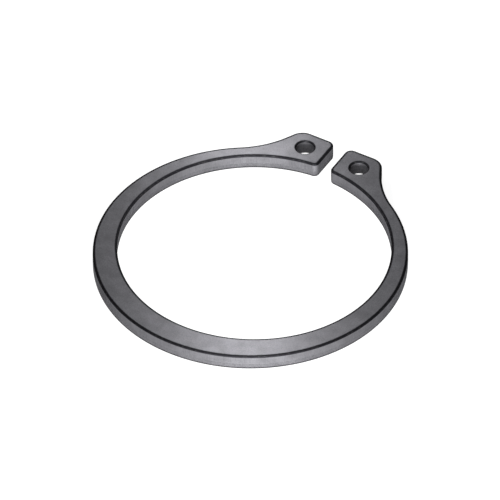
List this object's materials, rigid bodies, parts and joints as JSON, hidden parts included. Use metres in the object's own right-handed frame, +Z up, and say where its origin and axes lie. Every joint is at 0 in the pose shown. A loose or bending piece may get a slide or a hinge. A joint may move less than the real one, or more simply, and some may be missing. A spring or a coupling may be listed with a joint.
{
  "type": "external retaining ring",
  "caption": "Flat spring-steel retaining ring for a groove in a shaft, with a tapering band, an open gap and a lug with a plier hole on each side of it.",
  "frame": {"origin": "on the bore's axis, in the lower face that the ring lies on", "axes": "+Z up along the bore's axis, +Y to the middle of the gap, +X to the lug on the right when the gap points away from the viewer"},
  "size_m": [0.0584, 0.0632, 0.003],
  "materials": {
    "spring_steel": "black phosphate and oil, satin"
  },
  "bodies": {
    "root": {"retaining_ring": "spring_steel"}
  },
  "joints": []
}
